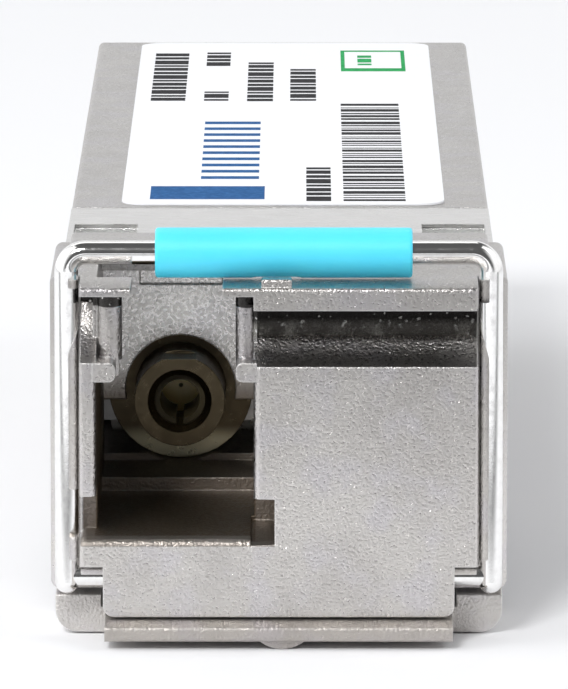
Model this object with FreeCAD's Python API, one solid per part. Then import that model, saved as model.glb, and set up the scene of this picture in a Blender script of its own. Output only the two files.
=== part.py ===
import FreeCAD, Part
import math
import os

# Single-fibre pluggable optical transceiver module with a wire bail latch. All sizes are in millimetres.
# X runs to the right as seen from the fibre port, Y from the port towards the card edge, Z up.
# Origin: centre plane, in the plane of the stop shoulder, at the underside of the body that enters the cage.

# ---- Driving dimensions -------------------------------------------------------------------------------

# Body that enters the cage
BODY_HALF = 6.7
BODY_TOP = 8.5
BODY_END = 47.5
WALL = 0.8
FLOOR_TOP = 0.8
FLOOR_END = 37.1
SPLIT_Z = 7.7
LID_START = 2.25
BOTTOM_CHAMFER = 1.1
LID_GAP = 0.05
INNER_HALF = BODY_HALF - WALL

# Nose that stays outside the cage
FACE_Y = -9.0
FACE_HALF = 6.05
COLLAR_FRONT = -6.6
COLLAR_HALF = 7.0
COLLAR_BOTTOM = -1.1
RIB_TOP = 8.9
RIB_FRONT = -2.2
RIB_INSET = 0.5
RIB_EDGE_R = 0.15
CHIN_HALF = 5.35
CHIN_BOTTOM = -1.54
CHIN_EDGE_R = 0.33
EDGE_R = 0.25
NOSE_TOP = 8.6
FACE_EDGE_R = 0.12

# Fibre port
AXIS_X = -3.125
AXIS_Z = 3.55
PORT_LEFT = -5.555
PORT_RIGHT = -0.759
PORT_FLOOR = 0.85
PORT_STEP_Y = -0.8
PORT_STEP_Z = 1.27
PORT_CEILING = 8.33
PORT_EDGE_R = 0.22
PORT_BACK = 2.2
REAR_CEILING = 7.75
REAR_CEILING_Y = -0.3
HOOK_LOW = 5.71
HOOK_HIGH = 6.30
HOOK_BACK = -7.0
HOOK_LEFT_TIP = -4.96
HOOK_RIGHT_TIP = -1.296
LEFT_POST = (-5.145, -7.6, 0.375)
RIGHT_POST = (-1.035, -7.75, 0.275)
WELL_BACK = -2.3
GROOVE_TOP = 7.90
GROOVE_BOTTOM = 6.18
GROOVE_SPLIT = -0.79
LATCH_SLOT_LEFT = -4.49
LATCH_SLOT_RIGHT = -1.70
TOP_BAR_BACK = -6.9
LEFT_NOTCH_TOP = 2.18
LEFT_NOTCH_BACK = -7.0
RIGHT_NOTCH_END = -0.12
RIGHT_NOTCH_BOTTOM = 0.7
RIGHT_NOTCH_TOP = 2.1
RIGHT_NOTCH_BACK = -5.0

# Bail latch: the wire turns about a cross axis at the chin
WIRE_R = 0.365
SHAFT_R = 0.3
BAIL_Y = -7.8
BAIL_Z = -0.5
BAIL_LEAN_DEG = 3.46
BAIL_REACH = 9.93
LEG_TIP_Z = -1.03
LEG_X = 6.47
BEND_R = 0.57
SHAFT_END_X = 4.3
CRANK_R = 0.3
CRANK_OFFSET = 0.304
CRANK_END_X = 3.4
GRIP_R = 0.765
GRIP_LEFT = -3.76
GRIP_RIGHT = 4.07
GRIP_END_R = 0.1
GRIP_NOTCH = 0.428
NUB_TOP = 8.85
NUB_LEFT = -0.52
NUB_RIGHT = 0.40
NUB_FRONT = -8.9
NUB_BACK = -8.3

# Release lever: rocks about a cross pin, and its boss locks the module in the cage
PIN_Y = -3.5
PIN_Z = -0.65
PIN_R = 0.5
PIN_LEFT = -4.9
PIN_RIGHT = 6.7
HUB_R = 0.85
LEVER_HALF = 3.05
BAY_HALF = 3.15
BAY_END = 5.8
BOSS_FRONT = 2.5
BOSS_LENGTH = 2.6
BOSS_HALF = 1.3
BOSS_DROP = 0.45
ARM_TOP = 0.35
PAD_TOP = -0.615
DECK = -1.62
LIP_FRONT = -9.6
LIP_HALF = 5.3
PLATE_HALF = 6.85
PLATE_FRONT = -7.0
PLATE_BACK = -3.2
PLATE_BOTTOM = -2.4
PLATE_CORNER_R = 0.7

# Running clearances
RUN_GAP = 0.03
SHAFT_GAP = 0.04

# Grounding spring collar
SEAT_FRONT = 0.2
SEAT_END = 7.8
SEAT_DEPTH = 0.15
SHEET = 0.12
SHEET_GAP = 0.01
FINGER_ROOT = 2.6
FINGER_END = 7.2
FINGER_BULGE = 0.38
FINGER_SLIT = 0.15
SIDE_FINGERS = (1.25, 3.35, 5.45)
SIDE_FINGER_WIDTH = 1.7
UNDER_FINGERS = (3.5, -6.1)
UNDER_FINGER_WIDTH = 2.6
PITS = ((-6.5, -4.5), (4.5, 6.5))
PIT_FRONT = 2.6
PIT_BACK = 4.4
PIT_DEPTH = 0.35

# Optical sub-assembly on the port's axis
BARREL_R = 1.425
BLOCK_FRONT = 2.23
BLOCK_BACK = 2.66
BLOCK_LOW = 3.22
ARCH_R = 1.74
FRONT_FLANGE_R = 2.28
FRONT_FLANGE_BACK = 3.2
SEAT_R = 2.3
FLANGE_R = 2.0
NECK_R = 1.45
SLEEVE_IN = 0.625
SLEEVE_OUT = 0.83
LIP_R = 0.8
SLEEVE_START = 0.42
SLEEVE_END = 2.95
STUB_FACE = 3.0
OPTICS_FRONT = 6.5
OPTICS_BACK = 12.0
OPTICS_HALF = 2.3
CAN_R = 1.95
CAP_R = 1.6
SIDE_PORT_Y = 8.55
LENS_R = 0.45
LEAD_R = 0.2
LEAD_CIRCLE = 0.8
CAN_DEPTH = 1.1
CAN_HEIGHT = 1.0
FLEX_THICK = 0.12
FLEX_TOP = 5.0
FLEX_BOTTOM = 2.08
FLEX_FOLD = 0.22

# Circuit board and card edge
BOARD_BOTTOM = 2.25
BOARD_THICK = 1.0
BOARD_TOP = BOARD_BOTTOM + BOARD_THICK
BOARD_HALF = 5.6
EDGE_HALF = 4.6
BOARD_FRONT = 15.0
BOARD_NARROW = 36.0
BOARD_END = 44.3
PAD_COUNT = 10
PAD_PITCH = 0.8
PAD_THICK = 0.035
PAD_WIDTH = 0.6
PAD_END = 43.9
SIGNAL_PAD_START = 41.6
GROUND_PAD_START = 41.2
SOLDER = 0.01
CHIP_UNDERSIDE = 1.35

# Lid screws: (x, y)
SCREWS = ((4.5, 12.4), (-4.5, 34.0))
SCREW_R = 0.7
SCREW_HEAD_R = 1.15
SCREW_HEAD = 0.5
SCREW_END = 4.6
SCREW_BOSS_WALL = 0.35
SCREW_BOSS_TOP = 1.6
PILLAR_R = 0.95

# Spring pocket beside the optics
SPRING_X = 1.9
SPRING_Y = 3.9
SPRING_WIRE_R = 0.11
SPRING_COIL_R = 0.7
SPRING_HEIGHT = 2.05
SPRING_TURNS = 4
POCKET_R = 0.95
POCKET_TOP = 2.7

# Gasket strips along the side walls
GASKET_X = 6.3
GASKET_FRONT = 8.3
GASKET_BACK = 46.5
GASKET_GROOVE_HALF = 0.16
GASKET_GROOVE_DEPTH = 0.3

# Product label in its place on the lid
LABEL_LEFT = -5.1
LABEL_RIGHT = 5.3
LABEL_FRONT = 8.2
LABEL_BACK = 46.8
LABEL_THICK = 0.08
LABEL_GLUE = 0.005
LABEL_CORNER_R = 0.8


# ---- Solid helpers ------------------------------------------------------------------------------------

def box(x0, x1, y0, y1, z0, z1):
    return Part.makeBox(x1 - x0, y1 - y0, z1 - z0, FreeCAD.Vector(x0, y0, z0))


def rod_x(radius, x0, x1, y, z):
    return Part.makeCylinder(radius, x1 - x0, FreeCAD.Vector(x0, y, z), FreeCAD.Vector(1, 0, 0))


def rod_y(radius, y0, y1, x, z):
    return Part.makeCylinder(radius, y1 - y0, FreeCAD.Vector(x, y0, z), FreeCAD.Vector(0, 1, 0))


def rod_z(radius, z0, z1, x, y):
    return Part.makeCylinder(radius, z1 - z0, FreeCAD.Vector(x, y, z0), FreeCAD.Vector(0, 0, 1))


def slab_x(outline, x0, x1):
    """Extrudes a closed (y, z) outline from x0 to x1."""
    corners = [FreeCAD.Vector(x0, y, z) for y, z in outline]
    face = Part.Face(Part.makePolygon(corners + corners[:1]))
    return face.extrude(FreeCAD.Vector(x1 - x0, 0, 0))


def slab_y(outline, y0, y1):
    """Extrudes a closed (x, z) outline from y0 to y1."""
    corners = [FreeCAD.Vector(x, y0, z) for x, z in outline]
    face = Part.Face(Part.makePolygon(corners + corners[:1]))
    return face.extrude(FreeCAD.Vector(0, y1 - y0, 0))


def slab_z(outline, z0, z1):
    """Extrudes a closed (x, y) outline from z0 to z1."""
    corners = [FreeCAD.Vector(x, y, z0) for x, y in outline]
    face = Part.Face(Part.makePolygon(corners + corners[:1]))
    return face.extrude(FreeCAD.Vector(0, 0, z1 - z0))


def mirrored(solid):
    return solid.mirror(FreeCAD.Vector(0, 0, 0), FreeCAD.Vector(1, 0, 0))


def joined(solids):
    return solids[0].multiFuse(solids[1:]).removeSplitter()


def rounded(solid, radius, wanted):
    """Rounds the straight edges of a solid for which wanted(start, end) is true."""
    edges = [e for e in solid.Edges if wanted(e.Vertexes[0].Point, e.Vertexes[-1].Point)]
    return solid.makeFillet(radius, edges)


def near(value, target):
    return abs(value - target) < 1e-6


# ---- Housing ------------------------------------------------------------------------------------------

def nose_outside():
    """Face block, wider collar behind it, stop rib on top and the chin that carries the latch."""
    face = box(-FACE_HALF, FACE_HALF, FACE_Y, 0, 0, NOSE_TOP)
    face = rounded(face, FACE_EDGE_R, lambda a, b: near(a.y, FACE_Y) and near(b.y, FACE_Y)
                   and not (near(a.z, 0) and near(b.z, 0)))
    collar = box(-COLLAR_HALF, COLLAR_HALF, COLLAR_FRONT, 0, COLLAR_BOTTOM, NOSE_TOP)
    collar = rounded(collar, EDGE_R, lambda a, b: near(abs(a.x), COLLAR_HALF) and near(a.x, b.x)
                     and not (near(a.y, 0) and near(b.y, 0)))
    rib_half = COLLAR_HALF - RIB_INSET
    rib = box(-rib_half, rib_half, RIB_FRONT, 0, NOSE_TOP - EDGE_R, RIB_TOP)
    rib = rounded(rib, RIB_EDGE_R, lambda a, b: near(a.z, RIB_TOP) and near(b.z, RIB_TOP)
                  and not near(a.y + b.y, 0))
    chin = box(-CHIN_HALF, CHIN_HALF, FACE_Y, 0, CHIN_BOTTOM, EDGE_R)
    chin = rounded(chin, CHIN_EDGE_R, lambda a, b: near(a.z, CHIN_BOTTOM) and near(b.z, CHIN_BOTTOM)
                   and near(a.x, b.x))
    return joined([face, collar, rib, chin, grip_nub()])


def grip_nub():
    """Small upstand on the front top edge that the grip snaps over."""
    nub = box(NUB_LEFT, NUB_RIGHT, NUB_FRONT, NUB_BACK, NOSE_TOP - EDGE_R, NUB_TOP)
    return rounded(nub, 0.08, lambda a, b: near(a.z, NUB_TOP) and near(b.z, NUB_TOP))


def tray_outside():
    """Body that enters the cage, with its seat for the spring collar and its bevelled lower edges."""
    low = BOTTOM_CHAMFER
    outline = [(-BODY_HALF, SPLIT_Z), (-BODY_HALF, low), (-BODY_HALF + low, 0),
               (BODY_HALF - low, 0), (BODY_HALF, low), (BODY_HALF, SPLIT_Z)]
    tray = slab_y(outline, SEAT_END, BODY_END)
    seat_half = BODY_HALF - SEAT_DEPTH
    seat = box(-seat_half, seat_half, 0, SEAT_END, SEAT_DEPTH, SPLIT_Z)
    hood = box(-seat_half, seat_half, 0, LID_START - LID_GAP, SPLIT_Z, BODY_TOP - SEAT_DEPTH)
    shoulder = box(-BODY_HALF, BODY_HALF, 0, SEAT_FRONT, 0, BODY_TOP)
    return joined([tray, seat, hood, shoulder])


def tray_inside():
    """Room for the optics and the board; the right front part stays solid for the spring pocket."""
    front = LID_START - LID_GAP
    step = OPTICS_FRONT - 0.05
    middle = 0.2
    above = SPLIT_Z + 1
    optics_bay = box(-INNER_HALF, INNER_HALF, step, FLOOR_END, FLOOR_TOP, above)
    barrel_bay = box(-INNER_HALF, middle, front, step, 1.5, above)
    spring_side = box(middle, INNER_HALF, front, step, 3.0, above)
    connector_bay = box(-INNER_HALF, INNER_HALF, FLOOR_END, BODY_END + 1, -1, above)
    return [optics_bay, barrel_bay, spring_side, connector_bay]


def port_opening():
    """Stepped opening for one LC plug, open on top behind the face, with notches at its lower corners."""
    deep = box(PORT_LEFT, PORT_RIGHT, FACE_Y - 1, PORT_STEP_Y, PORT_FLOOR, PORT_CEILING)
    middle = box(PORT_LEFT, PORT_RIGHT, PORT_STEP_Y - 0.1, REAR_CEILING_Y, PORT_STEP_Z, PORT_CEILING)
    rear = box(PORT_LEFT, PORT_RIGHT, REAR_CEILING_Y - 0.1, PORT_BACK, PORT_STEP_Z, REAR_CEILING)
    low, high = PORT_CEILING - 0.1, RIB_TOP + 1
    slot = box(LATCH_SLOT_LEFT, LATCH_SLOT_RIGHT, FACE_Y - 1, TOP_BAR_BACK + 0.1, low, high)
    well = box(PORT_LEFT, PORT_RIGHT, TOP_BAR_BACK, WELL_BACK, low, high)
    left_notch = box(-FACE_HALF - 1, PORT_LEFT + 0.1, FACE_Y - 1, LEFT_NOTCH_BACK, PORT_FLOOR, LEFT_NOTCH_TOP)
    right_notch = box(PORT_RIGHT - 0.1, RIGHT_NOTCH_END, FACE_Y - 1, RIGHT_NOTCH_BACK, RIGHT_NOTCH_BOTTOM,
                      RIGHT_NOTCH_TOP)
    return [deep, middle, rear, slot, well, left_notch, right_notch]


def is_port_edge(a, b):
    """The opening's upright front edges, between the corner notches and the hooks, and its sill."""
    if not (near(a.y, FACE_Y) and near(b.y, FACE_Y)):
        return False
    upright = near(a.x, b.x) and abs(a.z - b.z) > 2 and (near(a.x, PORT_RIGHT) or near(a.x, PORT_LEFT))
    sill = near(a.z, PORT_FLOOR) and near(b.z, PORT_FLOOR)
    return upright or sill


def flange_seat():
    """Round seat in the floor for the barrel's front flange."""
    return rod_y(SEAT_R, PORT_BACK - 0.1, FRONT_FLANGE_BACK + 0.05, AXIS_X, AXIS_Z)


def port_hooks():
    """Latch shoulders at both sides of the opening, each with a half-round post standing on it."""
    overlap = 0.1
    tip_r = 0.2
    pieces = []
    sides = ((HOOK_LEFT_TIP, PORT_LEFT - overlap, LEFT_POST),
             (HOOK_RIGHT_TIP, PORT_RIGHT + overlap, RIGHT_POST))
    for tip, wall, post in sides:
        x, y, radius = post
        hook = box(min(tip, wall), max(tip, wall), FACE_Y, HOOK_BACK, HOOK_LOW, HOOK_HIGH)
        pieces.append(rounded(hook, tip_r, lambda a, b: near(a.x, tip) and near(b.x, tip) and near(a.z, b.z)))
        pieces.append(rod_z(radius, HOOK_HIGH - overlap, PORT_CEILING + overlap, x, y))
        edge = x + math.copysign(radius - overlap, tip - wall)
        pieces.append(box(min(edge, wall), max(edge, wall), y, HOOK_BACK, HOOK_LOW, PORT_CEILING + overlap))
    return pieces


def scoop(x0, x1, low, high):
    """Quarter-round groove along X: flat overhang on top, then a curve that comes forward to the face."""
    radius = high - low
    return rod_x(radius, x0, x1, FACE_Y, high).common(box(x0, x1, FACE_Y - 3, FACE_Y + 3, low - 1, high))


def face_grooves():
    """Finger groove across the right part of the face, and a taller one across the port side."""
    return [scoop(GROOVE_SPLIT, FACE_HALF + 1, GROOVE_BOTTOM, GROOVE_TOP),
            scoop(-FACE_HALF - 1, GROOVE_SPLIT, HOOK_HIGH, PORT_CEILING)]


def lever_bay():
    """Room under the nose and body for the lever, stepped up to follow its arm when it rocks."""
    below = CHIN_BOTTOM - 1
    steps = ((-5.2, 0.5, 0.5), (-0.2, 2.4, 0.97), (2.3, 3.5, 1.06), (3.4, BAY_END, 1.25))
    bays = [box(-BAY_HALF, BAY_HALF, front, back, below, roof) for front, back, roof in steps]
    return bays + [rod_z(POCKET_R, 0.9, POCKET_TOP, SPRING_X, SPRING_Y)]


def bail_bearing():
    """Slots open downwards for the bail's cross shafts, and pockets for its cranks and the lever's pads."""
    radius = SHAFT_R + SHAFT_GAP
    below = CHIN_BOTTOM - 1
    pocket_front, pocket_back, pocket_roof = -8.75, -6.9, 0.13
    cuts = []
    for side in (-1, 1):
        x0, x1 = sorted((side * (SHAFT_END_X - 0.1), side * (CHIN_HALF + 1)))
        cuts.append(rod_x(radius, x0, x1, BAIL_Y, BAIL_Z))
        cuts.append(box(x0, x1, BAIL_Y - radius, BAIL_Y + radius, below, BAIL_Z))
        x0, x1 = sorted((side * BAY_HALF, side * SHAFT_END_X))
        cuts.append(box(x0, x1, pocket_front, pocket_back, below, pocket_roof))
    return cuts


def screw_bosses():
    return [rod_z(SCREW_HEAD_R + SCREW_BOSS_WALL, 0.3, SCREW_BOSS_TOP, x, y) for x, y in SCREWS]


def screw_holes():
    holes = []
    for x, y in SCREWS:
        holes.append(rod_z(SCREW_R + SHAFT_GAP, -1, 2, x, y))
        holes.append(rod_z(SCREW_HEAD_R + SHAFT_GAP, -1, SCREW_HEAD + 0.02, x, y))
    return holes


def board_ledges():
    """Two rails on the side walls that carry the board's edges."""
    rail = 4.9
    start = 16.5
    low, high = FLOOR_TOP - 0.1, BOARD_BOTTOM - 0.02
    return [box(-INNER_HALF - 0.1, -rail, start, 31.0, low, high),
            box(rail, INNER_HALF + 0.1, start, 36.0, low, high)]


def clamp_ribs():
    """Guides on the left wall that hold the clamp from moving along the axis."""
    return [box(-INNER_HALF - 0.1, -5.65, y, y + 0.3, 1.4, 7.0) for y in (3.3, 4.6)]


def gasket_grooves():
    return [box(x - GASKET_GROOVE_HALF, x + GASKET_GROOVE_HALF, GASKET_FRONT, GASKET_BACK,
                SPLIT_Z - GASKET_GROOVE_DEPTH, SPLIT_Z + 1) for x in (-GASKET_X, GASKET_X)]


def base_housing():
    solid = joined([nose_outside(), tray_outside()])
    solid = solid.cut(tray_inside() + port_opening() + face_grooves() + [flange_seat()])
    solid = rounded(solid, PORT_EDGE_R, is_port_edge)
    solid = solid.fuse(port_hooks() + board_ledges() + clamp_ribs() + screw_bosses())
    pin_hole = rod_x(PIN_R, PIN_LEFT, COLLAR_HALF + 1, PIN_Y, PIN_Z)
    solid = solid.cut(lever_bay() + bail_bearing() + screw_holes() + gasket_grooves() + [pin_hole])
    return solid.removeSplitter()


def top_cover():
    """Lid with a locating frame, two screw pillars and a low seat for the spring collar at its front."""
    plate = box(-BODY_HALF, BODY_HALF, SEAT_END, BODY_END, SPLIT_Z, BODY_TOP)
    plate = rounded(plate, 0.2, lambda a, b: near(a.z, BODY_TOP) and near(b.z, BODY_TOP) and near(a.x, b.x))
    seat_half = BODY_HALF - SEAT_DEPTH
    seat = box(-seat_half, seat_half, LID_START, SEAT_END, SPLIT_Z, BODY_TOP - SEAT_DEPTH)
    rails = [box(x, x + 0.5, 8.2, 46.0, 6.9, SPLIT_Z) for x in (-5.8, 5.3)]
    pillars = [rod_z(PILLAR_R, SCREW_BOSS_TOP + 0.02, SPLIT_Z, x, y) for x, y in SCREWS]
    solid = joined([plate, seat] + rails + pillars)
    pits = [box(x0, x1, PIT_FRONT, PIT_BACK, BODY_TOP - SEAT_DEPTH - PIT_DEPTH, BODY_TOP) for x0, x1 in PITS]
    taps = [rod_z(SCREW_R, 1, 5.5, x, y) for x, y in SCREWS]
    return solid.cut(pits + taps)


def spring_finger(across0, across1, place):
    """One bowed finger: a strip that leaves the sheet at its root and stands proud of it in the middle."""
    low = BODY_HALF - SHEET - SHEET_GAP
    bow = (FINGER_ROOT + FINGER_END) / 2
    tip_lift = 0.08
    inner_line = [(FINGER_ROOT - 0.1, low), (FINGER_ROOT + 0.1, low), (bow, low + FINGER_BULGE),
                  (FINGER_END, low + tip_lift)]
    outer_line = [(y, r + SHEET) for y, r in reversed(inner_line)]
    return place(inner_line + outer_line, across0, across1)


def side_finger(outline, z0, z1):
    return slab_z([(r, y) for y, r in outline], z0, z1)


def under_finger(outline, x0, x1):
    drop = BODY_HALF
    return slab_x([(y, drop - r) for y, r in outline], x0, x1)


def emi_spring_collar():
    """Sheet wrapped round the body behind the collar, with bowed fingers on both sides and underneath."""
    outer = BODY_HALF - SHEET_GAP
    inner = outer - SHEET
    y0, y1 = SEAT_FRONT + 0.05, SEAT_END - 0.1
    sheet = box(-outer, outer, y0, y1, SHEET_GAP, BODY_TOP - SHEET_GAP)
    sheet = sheet.cut(box(-inner, inner, y0 - 1, y1 + 1, SHEET_GAP + SHEET, BODY_TOP - SHEET_GAP - SHEET))
    cuts = [box(x0, x1, PIT_FRONT, PIT_BACK, BODY_TOP - 1, BODY_TOP + 1) for x0, x1 in PITS]
    cuts.append(box(-BAY_HALF - 0.1, BAY_HALF + 0.1, -1, BAY_END + 0.1, -1, 1))
    fingers = []
    gap_end = FINGER_END + FINGER_SLIT
    for z0 in SIDE_FINGERS:
        z1 = z0 + SIDE_FINGER_WIDTH
        cuts.append(box(inner - 1, outer + 1, FINGER_ROOT, gap_end, z0 - FINGER_SLIT, z1 + FINGER_SLIT))
        cuts.append(box(-outer - 1, 1 - inner, FINGER_ROOT, gap_end, z0 - FINGER_SLIT, z1 + FINGER_SLIT))
        finger = spring_finger(z0, z1, side_finger)
        fingers += [finger, mirrored(finger)]
    for x0 in UNDER_FINGERS:
        x1 = x0 + UNDER_FINGER_WIDTH
        cuts.append(box(x0 - FINGER_SLIT, x1 + FINGER_SLIT, FINGER_ROOT, gap_end, -1, 1))
        fingers.append(spring_finger(x0, x1, under_finger))
    sheet = sheet.cut(cuts)
    return joined([sheet] + fingers)


def product_label():
    low = BODY_TOP + LABEL_GLUE
    label = box(LABEL_LEFT, LABEL_RIGHT, LABEL_FRONT, LABEL_BACK, low, low + LABEL_THICK)
    return rounded(label, LABEL_CORNER_R, lambda a, b: near(a.x, b.x) and near(a.y, b.y))


def cover_gasket():
    half = GASKET_GROOVE_HALF - 0.03
    low, high = SPLIT_Z - GASKET_GROOVE_DEPTH + 0.02, SPLIT_Z - 0.02
    return Part.makeCompound([box(x - half, x + half, GASKET_FRONT + 0.05, GASKET_BACK - 0.05, low, high)
                              for x in (-GASKET_X, GASKET_X)])


def cover_screws():
    """Flat-headed screws with a hexagon recess."""
    hexagon_r = 0.55
    corners = [(hexagon_r * math.cos(math.radians(60 * k)), hexagon_r * math.sin(math.radians(60 * k)))
               for k in range(6)]
    screws = []
    for x, y in SCREWS:
        head = rod_z(SCREW_HEAD_R, 0.04, SCREW_HEAD, x, y)
        shank = rod_z(SCREW_R - 0.01, SCREW_HEAD - 0.1, SCREW_END, x, y)
        recess = slab_z([(x + a, y + b) for a, b in corners], -0.1, 0.35)
        screws.append(head.fuse(shank).cut(recess))
    return Part.makeCompound(screws)


# ---- Latch --------------------------------------------------------------------------------------------

def on_bail(solid):
    """Moves a solid drawn upright about the X axis to the bail's pivot, leaning back by its rest angle."""
    solid.rotate(FreeCAD.Vector(0, 0, 0), FreeCAD.Vector(1, 0, 0), -BAIL_LEAN_DEG)
    solid.translate(FreeCAD.Vector(0, BAIL_Y, BAIL_Z))
    return solid


def wire_path():
    """Centre line of the bail in its own plane: leg, crossbar, leg."""
    foot = LEG_TIP_Z - BAIL_Z + WIRE_R
    corners = [(-LEG_X, foot), (-LEG_X, BAIL_REACH), (LEG_X, BAIL_REACH), (LEG_X, foot)]
    points = [FreeCAD.Vector(x, 0, z) for x, z in corners]
    edges = []
    start = points[0]
    for before, corner, after in zip(points, points[1:], points[2:]):
        back = (before - corner).normalize()
        ahead = (after - corner).normalize()
        enter = corner + back * BEND_R
        leave = corner + ahead * BEND_R
        centre = enter + ahead * BEND_R
        middle = centre + (corner - centre).normalize() * BEND_R
        edges.append(Part.makeLine(start, enter))
        edges.append(Part.Arc(enter, middle, leave).toShape())
        start = leave
    edges.append(Part.makeLine(start, points[-1]))
    return Part.Wire(edges)


def bail_wire():
    foot = FreeCAD.Vector(-LEG_X, 0, LEG_TIP_Z - BAIL_Z + WIRE_R)
    profile = Part.Wire(Part.makeCircle(WIRE_R, foot, FreeCAD.Vector(0, 0, 1)))
    wire = wire_path().makePipeShell([profile], True, False)
    tips = [Part.makeSphere(WIRE_R, FreeCAD.Vector(x, 0, foot.z)) for x in (-LEG_X, LEG_X)]
    solids = [on_bail(joined([wire] + tips))]
    reach = CRANK_OFFSET * math.sin(math.radians(45))
    for side in (-1, 1):
        x0, x1 = sorted((side * SHAFT_END_X, side * LEG_X))
        solids.append(rod_x(SHAFT_R, x0, x1, BAIL_Y, BAIL_Z))
        x0, x1 = sorted((side * CRANK_END_X, side * SHAFT_END_X))
        solids.append(rod_x(CRANK_R, x0, x1, BAIL_Y - reach, BAIL_Z + reach))
        x0, x1 = sorted((side * (SHAFT_END_X - 0.2), side * SHAFT_END_X))
        solids.append(rod_x(CRANK_R, x0, x1, BAIL_Y, BAIL_Z))
    return joined(solids)


def bail_grip():
    """Sleeve moulded on the crossbar, with a shallow notch that passes over the nub."""
    sleeve = rod_x(GRIP_R, GRIP_LEFT, GRIP_RIGHT, 0, BAIL_REACH)
    sleeve = sleeve.makeFillet(GRIP_END_R, [e for e in sleeve.Edges if len(e.Vertexes) == 1])
    bore = rod_x(WIRE_R + 0.005, GRIP_LEFT - 1, GRIP_RIGHT + 1, 0, BAIL_REACH)
    notch = box(NUB_LEFT - 0.28, NUB_RIGHT + 0.28, -1, 1, BAIL_REACH - 1, BAIL_REACH - GRIP_NOTCH)
    return on_bail(sleeve.cut([bore, notch]))


def release_lever():
    """Plate and lip under the chin, hub on the pin, arm to the rear and the locking boss."""
    lip_bottom = -2.2
    lip_back = PLATE_FRONT + 0.2
    lip_line = [(LIP_FRONT, lip_bottom), (LIP_FRONT, DECK - 0.14), (FACE_Y, DECK), (lip_back, DECK),
                (lip_back, lip_bottom)]
    lip = slab_x(lip_line, -LIP_HALF, LIP_HALF)
    lip = rounded(lip, 0.1, lambda a, b: near(a.y, LIP_FRONT) and near(b.y, LIP_FRONT) and near(a.z, b.z))
    plate = box(-PLATE_HALF, PLATE_HALF, PLATE_FRONT, PLATE_BACK, PLATE_BOTTOM, -1.25)
    plate = rounded(plate, PLATE_CORNER_R, lambda a, b: near(a.z, PLATE_BOTTOM) and near(b.z, PLATE_BOTTOM)
                    and near(a.x, b.x))
    plate = plate.cut(box(-5.45, 5.45, PLATE_FRONT - 1, PLATE_BACK + 1, DECK, 0))
    runner = rod_y(1.105, -9.4, PLATE_FRONT, 0.1, -1.345).common(box(-1, 1, -10, -6, -3, lip_bottom + 0.1))
    hub = rod_x(HUB_R, -LEVER_HALF, LEVER_HALF, PIN_Y, PIN_Z)
    web = box(-LEVER_HALF, LEVER_HALF, -4.2, PLATE_BACK, DECK - 0.2, PIN_Z)
    solid = joined([lip, plate, runner, hub, web, lever_arm(), lever_boss()] + lever_pads())
    return solid.cut(rod_x(PIN_R + RUN_GAP, -LEVER_HALF - 1, LEVER_HALF + 1, PIN_Y, PIN_Z))


def lever_arm():
    """Flat arm from the hub to the spring, cranked up to run just above the body's underside."""
    arm_bottom = 0.03
    arm_end = 5.3
    outline = [(-3.6, -0.6), (-0.15, -0.4), (-0.05, arm_bottom), (arm_end, arm_bottom), (arm_end, ARM_TOP),
               (0.6, ARM_TOP), (-0.2, 0.12), (-3.6, 0.12)]
    return slab_x(outline, -LEVER_HALF, LEVER_HALF)


def lever_boss():
    """Locking boss: upright shoulder in front, long ramp behind."""
    boss_end = BOSS_FRONT + BOSS_LENGTH
    root = 0.2
    outline = [(BOSS_FRONT, root), (BOSS_FRONT, -BOSS_DROP), (BOSS_FRONT + 0.8, -BOSS_DROP),
               (boss_end, -0.05), (boss_end, root)]
    return slab_x(outline, -BOSS_HALF, BOSS_HALF)


def lever_pads():
    """Two pads under the bail's cranks, which push them down as the bail swings."""
    pads = []
    for side in (-1, 1):
        x0, x1 = sorted((side * CRANK_END_X, side * (SHAFT_END_X - 0.2)))
        pads.append(box(x0, x1, -8.6, -7.3, DECK - 0.2, PAD_TOP))
    return pads


def lever_pivot_pin():
    return rod_x(PIN_R, PIN_LEFT, PIN_RIGHT, PIN_Y, PIN_Z)


def latch_spring():
    """Coil that presses the lever's arm down; it stands in a blind pocket beside the optics."""
    helix = Part.makeHelix(SPRING_HEIGHT / SPRING_TURNS, SPRING_HEIGHT, SPRING_COIL_R)
    start = FreeCAD.Vector(SPRING_COIL_R, 0, 0)
    profile = Part.Wire(Part.makeCircle(SPRING_WIRE_R, start, FreeCAD.Vector(0, 1, 0)))
    coil = Part.Wire(helix.Edges).makePipeShell([profile], True, True)
    coil.translate(FreeCAD.Vector(SPRING_X, SPRING_Y, ARM_TOP + SPRING_WIRE_R + 0.02))
    return coil


# ---- Optics -------------------------------------------------------------------------------------------

def receptacle_block():
    """Inner wall of the port: a plate with an arched hole round the barrel, open below the axis."""
    plate = box(-5.87, 0.17, BLOCK_FRONT, BLOCK_BACK, 1.53, SPLIT_Z - 0.04)
    below = box(PORT_LEFT, PORT_RIGHT, 2, 3, 1, BLOCK_LOW)
    arch = rod_y(ARCH_R, 2, 3, AXIS_X, AXIS_Z)
    ledge = box(-4.4, -1.8, 2, BLOCK_FRONT + 0.15, 6.9, SPLIT_Z)
    return plate.cut([below, arch, ledge])


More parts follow.
